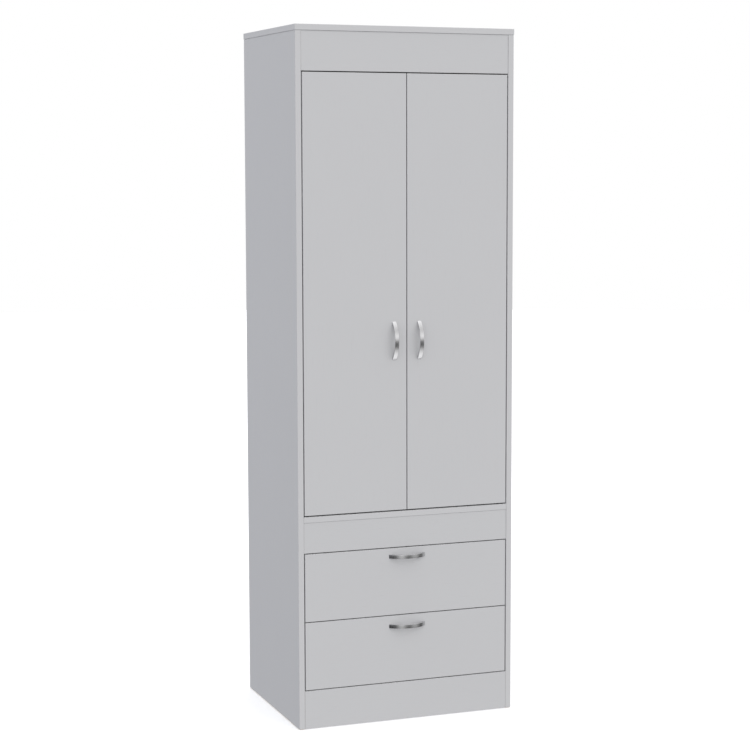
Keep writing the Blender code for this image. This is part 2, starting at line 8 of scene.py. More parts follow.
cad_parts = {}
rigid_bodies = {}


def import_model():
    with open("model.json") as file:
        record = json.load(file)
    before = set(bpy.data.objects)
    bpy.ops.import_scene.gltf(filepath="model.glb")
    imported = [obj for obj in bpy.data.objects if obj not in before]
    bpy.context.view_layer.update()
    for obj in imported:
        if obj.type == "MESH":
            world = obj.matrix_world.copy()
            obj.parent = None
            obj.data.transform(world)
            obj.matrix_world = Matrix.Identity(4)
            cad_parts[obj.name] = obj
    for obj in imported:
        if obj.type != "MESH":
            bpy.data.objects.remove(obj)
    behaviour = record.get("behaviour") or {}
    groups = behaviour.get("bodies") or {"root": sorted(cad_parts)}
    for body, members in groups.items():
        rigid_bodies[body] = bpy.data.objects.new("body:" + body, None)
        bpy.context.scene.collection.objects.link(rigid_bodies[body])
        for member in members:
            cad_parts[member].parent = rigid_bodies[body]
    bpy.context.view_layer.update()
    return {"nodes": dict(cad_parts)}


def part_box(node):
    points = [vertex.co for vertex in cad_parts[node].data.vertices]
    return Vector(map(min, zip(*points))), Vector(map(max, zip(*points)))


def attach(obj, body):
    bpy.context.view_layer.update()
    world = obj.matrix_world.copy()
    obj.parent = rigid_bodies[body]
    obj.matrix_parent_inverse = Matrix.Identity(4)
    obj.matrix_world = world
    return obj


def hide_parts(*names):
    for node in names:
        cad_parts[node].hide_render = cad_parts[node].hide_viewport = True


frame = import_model()
nodes = frame["nodes"]
sides = (("left", -1), ("right", 1))
levels = ("lower", "middle", "upper")
drawers = ("lower_drawer", "upper_drawer")
print("frame loaded:", len(nodes), "nodes")


# One wire of a node tree. Sums on wires add Math nodes.
class Wire:
    def __init__(self, tree, socket=None):
        self.tree = tree
        self.socket = socket

    def make(self, kind, settings=(), inputs=(), output=0):
        node = self.tree.nodes.new(kind)
        for name, value in dict(settings).items():
            if name == "stops":
                fillRamp(node.color_ramp, value)
            else:
                setattr(node, name, value)
        for key, value in dict(inputs).items():
            if isinstance(value, Wire):
                self.tree.links.new(value.socket, node.inputs[key])
            else:
                node.inputs[key].default_value = value
        return Wire(self.tree, node.outputs[output] if node.outputs else None)

    def math(self, operation, *values):
        return self.make("ShaderNodeMath", {"operation": operation}, enumerate(values))

    def __add__(self, other):
        return self.math("ADD", self, other)

    def __radd__(self, other):
        return self.math("ADD", other, self)

    def __sub__(self, other):
        return self.math("SUBTRACT", self, other)

    def __rsub__(self, other):
        return self.math("SUBTRACT", other, self)

    def __mul__(self, other):
        return self.math("MULTIPLY", self, other)

    def __rmul__(self, other):
        return self.math("MULTIPLY", other, self)

    def size(self):
        return self.math("ABSOLUTE", self)

    def step(self, low, high):
        # 0 below low, 1 above high, smooth between
        settings = {"interpolation_type": "SMOOTHSTEP"}
        inputs = {"Value": self, "From Min": low, "From Max": high}
        return self.make("ShaderNodeMapRange", settings, inputs)

    def between(self, first, second):
        # A colour that goes from first to second as this wire goes from 0 to 1
        settings = {"data_type": "RGBA"}
        return self.make("ShaderNodeMix", settings, {0: self, 6: first, 7: second}, 2)

    def part(self, axis):
        return self.make("ShaderNodeSeparateXYZ", (), {"Vector": self}, axis)


def fillRamp(ramp, stops):
    while len(ramp.elements) < len(stops):
        ramp.elements.new(0.5)
    for element, (place, level) in zip(ramp.elements, stops):
        element.position = place
        element.color = (level, level, level, 1.0)


def newMaterial(name):
    material = bpy.data.materials.new(name)
    material.use_nodes = True
    material.node_tree.nodes.clear()
    return material, Wire(material.node_tree)


def finishMaterial(wire, surface, bump=None, bumpHeight=0.0001, strength=1.0):
    # surface holds the inputs of the one Principled shader
    inputs = dict(surface)
    if bump is not None:
        relief = {"Strength": strength, "Distance": bumpHeight, "Height": bump}
        inputs["Normal"] = wire.make("ShaderNodeBump", (), relief)
    shader = wire.make("ShaderNodeBsdfPrincipled", (), inputs)
    wire.make("ShaderNodeOutputMaterial", (), {"Surface": shader})


def objectCoords(wire, scale=(1.0, 1.0, 1.0)):
    place = wire.make("ShaderNodeTexCoord", output="Object")
    return wire.make("ShaderNodeMapping", (), {"Vector": place, "Scale": scale})


def noise(wire, coords, scale, detail=2.0, roughness=0.5):
    inputs = {"Vector": coords, "Scale": scale, "Detail": detail, "Roughness": roughness}
    return wire.make("ShaderNodeTexNoise", (), inputs)


cameraSettings = {
    "place": (-1.8383, -5.0278, 1.4731),
    "turn": 21.327,
    "tilt": -6.300,
    "lens": 96.278,
    "sensor": 36.0,
    "shift": (-0.0620, 0.0033),
}


def addCamera(settings):
    data = bpy.data.cameras.new("camera")
    data.sensor_width = settings["sensor"]
    data.lens = settings["lens"]
    data.shift_x, data.shift_y = settings["shift"]
    camera = bpy.data.objects.new("camera", data)
    camera.location = settings["place"]
    tilt = math.radians(90.0 + settings["tilt"])
    camera.rotation_euler = (tilt, 0.0, -math.radians(settings["turn"]))
    bpy.context.scene.collection.objects.link(camera)
    bpy.context.scene.camera = camera


studioSettings = {
    "floorRadius": 14.0,
    "floorSegments": 96,
    "floorColour": (0.93, 0.93, 0.935, 1.0),
    "floorShade": (0.91, 0.91, 0.915, 1.0),
    "backdrop": (1.0, 1.0, 1.0, 1.0),
    "groundLevel": 0.672,
    "skyLevel": 1.158,
    "leftShade": 0.305,
    "skyTint": (1.0, 1.0, 1.0, 1.0),
    "leftTint": (0.97, 0.985, 1.03, 1.0),
    "mirrorLevel": 1.5,
    "floorMottle": 3.0,
    "floorRoughness": 0.8,
    "floorGlow": 0.30,
    # Heights are of a direction's Z, and turns are degrees to the left of the front
    "softRise": (-0.35, 0.45),
    "leftTurn": (20.0, 80.0),
    "bandDrop": 0.20,
    "bandEdge": (0.06, 0.34),
    # name, direction the light travels, power, spread in degrees
    "lights": (
        ("overhead", (0.0, 0.0, -1.0), 0.30, 90.0),
        ("key", (-0.41, 0.72, -0.56), 0.26, 38.0),
    ),
}


def addFloor(settings):
    bm = bmesh.new()
    bmesh.ops.create_circle(
        bm,
        cap_ends=True,
        segments=settings["floorSegments"],
        radius=settings["floorRadius"],
    )
    mesh = bpy.data.meshes.new("studio_floor")
    bm.to_mesh(mesh)
    bm.free()
    floor = bpy.data.objects.new("studio_floor", mesh)
    bpy.context.scene.collection.objects.link(floor)
    floor.visible_glossy = False
    floor.visible_diffuse = False  # the world gives the light from below
    floor.visible_shadow = False
    material, wire = newMaterial("studio_paper")
    mottle = noise(wire, objectCoords(wire), settings["floorMottle"])
    tint = mottle.between(settings["floorColour"], settings["floorShade"])
    surface = {
        "Base Color": tint,
        "Roughness": settings["floorRoughness"],
        "Emission Color": (1.0, 1.0, 1.0, 1.0),
        "Emission Strength": settings["floorGlow"],
    }
    finishMaterial(wire, surface)
    mesh.materials.append(material)


def addLight(name, direction, power, spread):
    data = bpy.data.lights.new(name, "SUN")
    data.energy = power
    data.angle = math.radians(spread)
    light = bpy.data.objects.new(name, data)
    light.rotation_euler = Vector(direction).to_track_quat("-Z", "Y").to_euler()
    light.visible_camera = False
    light.visible_glossy = False
    bpy.context.scene.collection.objects.link(light)


# What shiny pieces mirror, by height: pale ground, a dark band under the horizon, a bright room
roomStops = (
    (0.00, 0.88),
    (0.06, 0.84),
    (0.12, 0.64),
    (0.18, 0.48),
    (0.24, 0.24),
    (0.30, 0.08),
    (0.37, 0.06),
    (0.43, 0.14),
    (0.49, 0.40),
    (0.58, 0.78),
    (0.67, 0.79),
    (0.78, 0.56),
    (0.87, 0.61),
    (0.94, 0.82),
    (1.00, 1.12),
)
# Soft panels in the dark band: degrees round from the front, width, brightness
roomPanels = (
    (-150.0, 60.0, 0.45),
    (-62.0, 44.0, -0.06),
    (-16.0, 30.0, 0.35),
    (46.0, 30.0, 0.24),
    (118.0, 20.0, 0.30),
    (165.0, 40.0, 0.40),
)


def addWorld(settings):
    world = bpy.data.worlds.new("studio")
    bpy.context.scene.world = world
    world.use_nodes = True
    world.node_tree.nodes.clear()
    wire = Wire(world.node_tree)
    direction = wire.make("ShaderNodeTexCoord", output="Generated")
    up = direction.part("Z")
    around = wire.math("ARCTAN2", direction.part("X"), direction.part("Y") * -1.0)
    ramp = wire.make("ShaderNodeValToRGB", {"stops": roomStops}, {"Fac": up * 0.5 + 0.5})
    panels = 0.0
    for angle, width, gain in roomPanels:
        off = (around - math.radians(angle)).size()
        panels = (1.0 - off.step(0.0, math.radians(width))) * gain + panels
    inBand = 1.0 - (up + settings["bandDrop"]).size().step(*settings["bandEdge"])
    mirrored = (ramp + panels * inBand) * settings["mirrorLevel"]
    leftStart, leftEnd = settings["leftTurn"]
    toLeft = (around * -1.0).step(math.radians(leftStart), math.radians(leftEnd))
    rise = settings["skyLevel"] - settings["groundLevel"]
    soft = up.step(*settings["softRise"]) * rise + settings["groundLevel"]
    soft = (1.0 - toLeft * settings["leftShade"]) * soft
    isGlossy = wire.make("ShaderNodeLightPath", output="Is Glossy Ray")
    level = isGlossy * mirrored + (1.0 - isGlossy) * soft
    tint = toLeft.between(settings["skyTint"], settings["leftTint"])
    light = wire.make("ShaderNodeBackground", (), {"Color": tint, "Strength": level})
    seen = wire.make("ShaderNodeBackground", (), {"Color": settings["backdrop"]})
    isCamera = wire.make("ShaderNodeLightPath", output="Is Camera Ray")
    both = wire.make("ShaderNodeMixShader", (), {0: isCamera, 1: light, 2: seen})
    wire.make("ShaderNodeOutputWorld", (), {"Surface": both})


addCamera(cameraSettings)
addFloor(studioSettings)
for light in studioSettings["lights"]:
    addLight(*light)
addWorld(studioSettings)
bpy.context.scene.view_settings.view_transform = "Standard"
print("camera and studio placed")


boardFinish = {
    "face": (0.580, 0.581, 0.594, 1.0),
    "faceShade": (0.568, 0.569, 0.583, 1.0),
    "pore": (0.530, 0.531, 0.546, 1.0),
    "band": (0.590, 0.590, 0.603, 1.0),
    "bandShade": (0.578, 0.578, 0.591, 1.0),
    "chipLight": (0.46, 0.34, 0.22, 1.0),
    "chipDark": (0.20, 0.13, 0.07, 1.0),
    "pearlScale": 1400.0,
    "broadScale": 5.0,
    "tickScale": 620.0,
    "tickEdge": (0.60, 0.74),
    "cloudScale": 42.0,
    "chipScale": 420.0,
    "chipStretch": (1.0, 1.0, 2.2),
    "faceEdge": (0.60, 0.80),
    "rawEdge": (0.90, 0.96),
    "roughness": 0.41,
    "relief": 0.00002,
}
grainStretch = {"X": (0.035, 1.0, 1.0), "Y": (1.0, 0.035, 1.0), "Z": (1.0, 1.0, 0.035)}


def boardMaterial(name, faceAxis, grainAxis, rawEdges=()):
    # Printed faces look along faceAxis, rawEdges are unbanded, and the other edges carry tape
    finish = boardFinish
    material, wire = newMaterial(name)
    coords = objectCoords(wire)
    along = objectCoords(wire, grainStretch[grainAxis])
    normal = wire.make("ShaderNodeTexCoord", output="Normal")
    pearl = noise(wire, coords, finish["pearlScale"], 3.0, 0.6)
    broad = noise(wire, coords, finish["broadScale"], 2.0)
    ticks = noise(wire, along, finish["tickScale"], 3.0, 0.55).step(*finish["tickEdge"])
    clouds = noise(wire, along, finish["cloudScale"], 3.0, 0.5)
    printed = broad.between(finish["face"], finish["faceShade"])
    printed = (ticks * (0.30 + clouds * 0.40)).between(printed, finish["pore"])
    tape = clouds.between(finish["band"], finish["bandShade"])
    onFace = normal.part(faceAxis).size().step(*finish["faceEdge"])
    colour = onFace.between(tape, printed)
    rough = pearl * 0.10 + ticks * 0.06 + finish["roughness"]
    height = pearl * 0.35 + broad * 0.2 - ticks * onFace * 0.8
    if rawEdges:
        raw = 0.0
        for axis, sign in rawEdges:
            raw = (normal.part(axis) * sign).step(*finish["rawEdge"]) + raw
        chipCoords = objectCoords(wire, finish["chipStretch"])
        chips = wire.make(
            "ShaderNodeTexVoronoi",
            {"feature": "F1"},
            {"Vector": chipCoords, "Scale": finish["chipScale"]},
            "Color",
        )
        flake = chips.part("X")
        colour = raw.between(colour, flake.between(finish["chipDark"], finish["chipLight"]))
        rough = rough + raw * 0.35
        height = height + raw * flake * 4.0
    surface = {"Base Color": colour, "Roughness": rough}
    finishMaterial(wire, surface, height, finish["relief"], 0.6)
    return material


sheetFinish = {
    "white": (0.60, 0.60, 0.605, 1.0),
    "whiteShade": (0.57, 0.57, 0.575, 1.0),
    "brown": (0.300, 0.190, 0.108, 1.0),
    "brownDark": (0.215, 0.130, 0.070, 1.0),
    "fibre": (0.40, 0.28, 0.17, 1.0),
    "fibreStretch": (1.0, 1.0, 0.5),
    "fibreScale": 520.0,
    "fibreEdge": (0.50, 0.80),
    "cloudScale": 6.0,
    "speckScale": 900.0,
    "weave": 2600.0,
    "bareRough": 0.82,
    "paintSmoother": 0.34,
    "relief": 0.00008,
    "second": {"Y": "Z", "Z": "Y"},  # the weave's other axis, for each axis that the faces look along
}


def sheetMaterial(name, whiteAxis, whiteSign):
    # Hardboard: one painted face, and a bare face pressed against wire mesh
    finish = sheetFinish
    material, wire = newMaterial(name)
    coords = objectCoords(wire)
    normal = wire.make("ShaderNodeTexCoord", output="Normal")
    white = (normal.part(whiteAxis) * whiteSign).step(0.5, 0.8)
    lengths = objectCoords(wire, finish["fibreStretch"])
    fibres = noise(wire, lengths, finish["fibreScale"], 4.0, 0.60)
    clouds = noise(wire, coords, finish["cloudScale"], 4.0, 0.6)
    specks = noise(wire, coords, finish["speckScale"], 3.0, 0.6)
    # The press mesh leaves a fine square weave in the bare face, and the other one is painted
    across = wire.math("SINE", coords.part("X") * finish["weave"])
    along = wire.math("SINE", coords.part(finish["second"][whiteAxis]) * finish["weave"])
    bare = (clouds * 0.7 + specks * 0.3).between(finish["brown"], finish["brownDark"])
    bare = (fibres.step(*finish["fibreEdge"]) * 0.40).between(bare, finish["fibre"])
    paint = (clouds * 0.6 + specks * 0.4).between(finish["white"], finish["whiteShade"])
    colour = white.between(bare, paint)
    rough = finish["bareRough"] - white * finish["paintSmoother"] + fibres * 0.06
    height = (1.0 - white) * (across * along * 0.5 + fibres) + specks * white * 0.20
    surface = {"Base Color": colour, "Roughness": rough}
    finishMaterial(wire, surface, height, finish["relief"], 0.5)
    return material


def metalMaterial(name, finish):
    # Plated or polished metal with fine marks running along one axis, or along a piece's own map
    material, wire = newMaterial(name)
    if finish.get("mapped"):
        place = wire.make("ShaderNodeUVMap", {"uv_map": "along"})
        coords = wire.make("ShaderNodeMapping", (), {"Vector": place})
        lined = wire.make("ShaderNodeMapping", (), {"Vector": place, "Scale": finish["stretch"]})
    else:
        coords = objectCoords(wire)
        lined = objectCoords(wire, finish["stretch"])
    lines = noise(wire, lined, finish["lineScale"], 3.0, 0.6)
    smudge = noise(wire, coords, finish["smudgeScale"], 3.0, 0.55)
    colour = smudge.between(finish["colour"], finish["shade"])
    rough = finish["roughness"] + lines * finish["lineRough"] + smudge * 0.05
    surface = {"Base Color": colour, "Roughness": rough, "Metallic": 1.0}
    finishMaterial(wire, surface, lines, finish["relief"], 0.5)
    return material


pullFinish = {
    "mapped": True,
    "colour": (0.640, 0.640, 0.648, 1.0),
    "shade": (0.600, 0.600, 0.610, 1.0),
    "stretch": (1.0, 0.02, 1.0),
    "lineScale": 4200.0,
    "smudgeScale": 90.0,
    "roughness": 0.14,
    "lineRough": 0.10,
    "relief": 0.000006,
}
hingeFinish = {
    "colour": (0.62, 0.62, 0.60, 1.0),
    "shade": (0.52, 0.52, 0.51, 1.0),
    "stretch": (1.0, 1.0, 0.06),
    "lineScale": 2600.0,
    "smudgeScale": 120.0,
    "roughness": 0.20,
    "lineRough": 0.14,
    "relief": 0.000010,
}
zincFinish = {
    "colour": (0.50, 0.51, 0.53, 1.0),
    "shade": (0.38, 0.39, 0.41, 1.0),
    "stretch": (1.0, 1.0, 1.0),
    "lineScale": 1500.0,
    "smudgeScale": 260.0,
    "roughness": 0.32,
    "lineRough": 0.16,
    "relief": 0.000020,
}
rodFinish = {
    "colour": (0.78, 0.78, 0.79, 1.0),
    "shade": (0.72, 0.72, 0.73, 1.0),
    "stretch": (1.0, 0.05, 0.05),
    "lineScale": 1900.0,
    "smudgeScale": 40.0,
    "roughness": 0.05,
    "lineRough": 0.08,
    "relief": 0.000003,
}


# What enamel and moulded plastic have in common
coatDetail = {
    "fineScale": 2600.0,
    "markScale": 900.0,
    "markStretch": (1.0, 0.08, 1.0),
    "markEdge": (0.62, 0.74),
    "relief": 0.00002,
}


def coatMaterial(name, finish, detail=coatDetail):
    # A faint orange peel, specks and handling marks
    material, wire = newMaterial(name)
    coords = objectCoords(wire)
    peel = noise(wire, coords, finish["peelScale"], 2.0, 0.5)
    fine = noise(wire, coords, detail["fineScale"], 2.0, 0.6)
    lengthwise = objectCoords(wire, detail["markStretch"])
    marks = noise(wire, lengthwise, detail["markScale"], 3.0).step(*detail["markEdge"])
    colour = peel.between(finish["colour"], finish["shade"])
    colour = (marks * finish["wear"]).between(colour, finish["worn"])
    rough = finish["roughness"] + fine * 0.08 + marks * 0.06
    surface = {"Base Color": colour, "Roughness": rough}
    finishMaterial(wire, surface, peel + fine * 0.4, detail["relief"], 0.5)
    return material


enamelFinish = {
    "colour": (0.74, 0.74, 0.72, 1.0),
    "shade": (0.69, 0.69, 0.67, 1.0),
    "worn": (0.42, 0.42, 0.42, 1.0),
    "wear": 0.5,
    "peelScale": 700.0,
    "roughness": 0.30,
}
plasticFinish = {
    "colour": (0.70, 0.70, 0.69, 1.0),
    "shade": (0.66, 0.66, 0.645, 1.0),
    "worn": (0.58, 0.58, 0.56, 1.0),
    "wear": 0.3,
    "peelScale": 1100.0,
    "roughness": 0.42,
}
nylonFinish = {
    "colour": (0.60, 0.60, 0.585, 1.0),
    "shade": (0.55, 0.55, 0.53, 1.0),
    "worn": (0.36, 0.36, 0.35, 1.0),
    "wear": 0.6,
    "peelScale": 900.0,
    "roughness": 0.36,
}


def paint(node, material):
    mesh = nodes[node].data
    if not mesh.materials:
        mesh.materials.append(material)
    for index in range(len(mesh.materials)):
        mesh.materials[index] = material


unbandedRear = (("Y", 1.0),)
unbandedPanel = (("Y", 1.0), ("Z", -1.0))
uprightBoard = boardMaterial("melamine_upright", "X", "Z", unbandedPanel)
doorBoard = boardMaterial("melamine_door", "Y", "Z")
frontBoard = boardMaterial("melamine_front", "Y", "X")
railBoard = boardMaterial("melamine_rail", "Y", "X", (("X", 1.0), ("X", -1.0)))
deckBoard = boardMaterial("melamine_deck", "Z", "X", unbandedRear)
drawerSideBoard = boardMaterial("melamine_drawer_side", "X", "Y", (("Z", -1.0),))
drawerBackBoard = boardMaterial("melamine_drawer_back", "Y", "X", (("Z", -1.0),))
backSheet = sheetMaterial("hardboard_back", "Y", -1.0)
bottomSheet = sheetMaterial("hardboard_drawer_bottom", "Z", 1.0)
pullMetal = metalMaterial("satin_nickel_pull", pullFinish)
hingeSteel = metalMaterial("nickel_plated_hinge", hingeFinish)
zinc = metalMaterial("zinc_fasteners", zincFinish)
rodChrome = metalMaterial("chromed_rod", rodFinish)
slideEnamel = coatMaterial("white_slide_enamel", enamelFinish)
whitePlastic = coatMaterial("white_moulded_plastic", plasticFinish)
rollerNylon = coatMaterial("slide_roller_nylon", nylonFinish)
print("finishes made:", len(bpy.data.materials))

nodeFinishes = {
    "left_side_panel": uprightBoard,
    "right_side_panel": uprightBoard,
    "top_panel": deckBoard,
    "wardrobe_floor": deckBoard,
    "base_panel": deckBoard,
    "header_rail": railBoard,
    "mid_rail": railBoard,
    "plinth": railBoard,
    "back_panel_lower": backSheet,
    "back_panel_upper": backSheet,
    "hanging_rod": rodChrome,
}
for side, sign in sides:
    nodeFinishes[f"rod_socket_{side}"] = whitePlastic
    nodeFinishes[f"glide_front_{side}"] = whitePlastic
    nodeFinishes[f"glide_rear_{side}"] = whitePlastic
    nodeFinishes[f"{side}_door_panel"] = doorBoard
    for level in levels:
        for part in ("cup", "arm", "plate"):
            nodeFinishes[f"{side}_hinge_{part}_{level}"] = hingeSteel
for drawer in drawers:
    nodeFinishes[f"{drawer}_front"] = frontBoard
    nodeFinishes[f"{drawer}_back"] = drawerBackBoard
    nodeFinishes[f"{drawer}_bottom"] = bottomSheet
    for side, sign in sides:
        nodeFinishes[f"{drawer}_side_{side}"] = drawerSideBoard
        nodeFinishes[f"{drawer}_channel_{side}"] = slideEnamel
        nodeFinishes[f"{drawer}_runner_{side}"] = slideEnamel
for node, material in nodeFinishes.items():
    paint(node, material)
print("frame pieces finished:", len(nodeFinishes))


def addPiece(name, mesh, body, material):
    piece = bpy.data.objects.new(name, mesh)
    bpy.context.scene.collection.objects.link(piece)
    mesh.materials.append(material)
    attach(piece, body)
    return piece


pullSettings = {
    "steps": 72,
    "thickness": 0.0026,
    "footLength": 0.009,
    "edgeRadius": 0.0006,
    "edgeSteps": 4,
    "crown": 0.00012,
    "crownPlaces": (0.94, 0.5, 0.0),
    "endRounding": 0.0005,
    "sink": 0.0001,
    "sharpAngle": 50.0,
}


def arcPoint(halfChord, rise, share):
    # A point of the arc over the chord, as share goes from -1 to 1
    radius = (halfChord**2 + rise**2) / (2 * rise)
    angle = share * math.asin(halfChord / radius)
    return Vector((radius * math.sin(angle), rise - radius * (1 - math.cos(angle))))


def strapSection(halfWidth, halfDepth, settings):
    # Half of the section, on the outer side, from edge to edge: crowned face and rounded edges
    radius = settings["edgeRadius"]
    flat = halfWidth - radius
    points = []
    for step in range(settings["edgeSteps"] + 1):
        turn = math.pi / 2 * step / settings["edgeSteps"]
        points.append((flat + radius * math.cos(turn), halfDepth - radius * (1 - math.sin(turn))))
    for share in settings["crownPlaces"]:
        points.append((flat * share, halfDepth + settings["crown"] * (1 - share * share)))
    mirrored = [(-wide, deep) for wide, deep in points[-2::-1]]
    return points + mirrored


def pullMesh(name, node, alongAxis, boardFace, settings):
    # A strap swept along the bow, which deepens into the feet
    low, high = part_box(node)
    axes = {"X": Vector((1, 0, 0)), "Z": Vector((0, 0, 1))}
    along = axes[alongAxis]
    across = axes["X" if alongAxis == "Z" else "Z"]
    outward = Vector((0, -1, 0))
    half = (high - low).dot(along) / 2 + settings["endRounding"]
    halfWidth = (high - low).dot(across) / 2
    seat = Vector(((low.x + high.x) / 2, boardFace + settings["sink"], (low.z + high.z) / 2))
    reach = seat.y - low.y - settings["crown"]
    bm = bmesh.new()
    layer = bm.loops.layers.uv.new("along")
    rings = []
    girths = []
    for step in range(settings["steps"] + 1):
        share = 2 * step / settings["steps"] - 1
        outer = arcPoint(half, reach, share)
        inner = arcPoint(half - settings["footLength"], reach - settings["thickness"], share)
        centre = (outer + inner) / 2
        depth = (outer - inner).length / 2
        ahead = (outer - inner).normalized()
        outerHalf = strapSection(halfWidth, depth, settings)
        section = outerHalf + [(-wide, -deep) for wide, deep in outerHalf]
        ring = []
        for wide, deep in section:
            flat = centre + ahead * deep
            height = max(flat.y, 0.0)  # the feet end flat on the front
            point = seat + along * flat.x + outward * height + across * wide
            ring.append(bm.verts.new(point))
        rings.append(ring)
        girths.append(share * half)
    count = len(rings[0])
    for step in range(settings["steps"]):
        for index in range(count):
            other = (index + 1) % count
            near, far = rings[step], rings[step + 1]
            face = bm.faces.new((near[index], near[other], far[other], far[index]))
            spots = ((index, step), (index + 1, step), (index + 1, step + 1), (index, step + 1))
            for loop, (turn, place) in zip(face.loops, spots):
                loop[layer].uv = (turn * 2 * halfWidth / count, girths[place])
    bm.faces.new(rings[0])
    bm.faces.new(rings[-1])
    bmesh.ops.recalc_face_normals(bm, faces=bm.faces)
    mesh = bpy.data.meshes.new(name)
    bm.to_mesh(mesh)
    bm.free()
    mesh.shade_smooth()
    mesh.set_sharp_from_angle(angle=math.radians(settings["sharpAngle"]))
    return mesh


# The body that each pull moves with, the board that it is screwed to, and the way it runs
pullPlaces = {
    "left_door_pull": ("left_door", "left_door_panel", "Z"),
    "right_door_pull": ("right_door", "right_door_panel", "Z"),
    "lower_drawer_pull": ("lower_drawer", "lower_drawer_front", "X"),
    "upper_drawer_pull": ("upper_drawer", "upper_drawer_front", "X"),
}
for node, (body, board, alongAxis) in pullPlaces.items():
    name = f"{node}_bow"
    mesh = pullMesh(name, node, alongAxis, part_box(board)[0].y, pullSettings)
    bow = addPiece(name, mesh, body, pullMetal)
    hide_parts(node)
print("bow pulls shaped:", len(pullPlaces))


# Heads are turned about Z from their seat at zero, one unit across and about one unit high.
# A profile is of radius and height, and a cross slot is half long, half wide and deep.
headShapes = {
    "pan_head": {
        "profile": ((0.5, 0.0), (0.5, 0.45), (0.47, 0.78), (0.38, 1.0)),
        "steps": 24,
        "slot": (0.22, 0.05, 0.75),
    },
    "flat_head": {
        "profile": ((0.42, 0.0), (0.5, 0.62), (0.485, 0.88), (0.44, 1.0)),
        "steps": 24,
        "slot": (0.24, 0.05, 0.80),
    },
    "cam_head": {
        "profile": ((0.5, 0.0), (0.5, 0.60), (0.48, 1.0), (0.40, 1.0), (0.385, 0.55)),
        "steps": 32,
        "slot": (0.24, 0.055, 0.50),
    },
    "nail_head": {
        "profile": ((0.5, 0.0), (0.5, 0.55), (0.40, 0.90), (0.22, 1.0)),
        "steps": 10,
        "slot": None,
    },
    "roller_wheel": {
        "profile": (
            (0.44, 0.0),
            (0.49, 0.05),
            (0.50, 0.14),
            (0.50, 0.86),
            (0.49, 0.95),
            (0.44, 1.0),
            (0.32, 1.0),
            (0.30, 0.88),
            (0.18, 0.88),
            (0.17, 1.0),
            (0.10, 1.05),
        ),
        "steps": 40,
        "slot": None,
    },
}
headSettings = {"sharpAngle": 38.0, "slotTaper": 0.72}


def headMesh(name, profile, steps, slot):
    bm = bmesh.new()
    rings = []
    for radius, height in profile:
        ring = []
        for count in range(steps):
            turn = 2 * math.pi * count / steps
            ring.append(bm.verts.new((radius * math.cos(turn), radius * math.sin(turn), height)))
        rings.append(ring)
    for lower, upper in zip(rings, rings[1:]):
        for count in range(steps):
            other = (count + 1) % steps
            bm.faces.new((lower[count], lower[other], upper[other], upper[count]))
    bm.faces.new(rings[0])
    if slot:
        addCrossSlot(bm, rings[-1], profile[-1][1], *slot)
    else:
        bm.faces.new(rings[-1])
    bmesh.ops.recalc_face_normals(bm, faces=bm.faces)
    mesh = bpy.data.meshes.new(name)
    bm.to_mesh(mesh)
    bm.free()
    mesh.shade_smooth()
    mesh.set_sharp_from_angle(angle=math.radians(headSettings["sharpAngle"]))
    return mesh


def addCrossSlot(bm, rim, top, long, wide, depth):
    # The top face is filled round a cross, which then goes down with tapered walls
    corners = ((long, -wide), (long, wide), (wide, wide))
    outline = []
    for quarter in range(4):
        turn = Matrix.Rotation(quarter * math.pi / 2, 2)
        outline += [turn @ Vector(corner) for corner in corners]
    taper = headSettings["slotTaper"]
    mouth = [bm.verts.new((spot.x, spot.y, top)) for spot in outline]
    floor = [bm.verts.new((spot.x * taper, spot.y * taper, top - depth)) for spot in outline]
    edges = [bm.edges.get((rim[i - 1], rim[i])) for i in range(len(rim))]
    edges += [bm.edges.new((mouth[i - 1], mouth[i])) for i in range(len(mouth))]
    bmesh.ops.triangle_fill(bm, use_beauty=True, edges=edges)
    for index in range(len(mouth)):
        bm.faces.new((mouth[index - 1], mouth[index], floor[index], floor[index - 1]))
    bm.faces.new(floor)


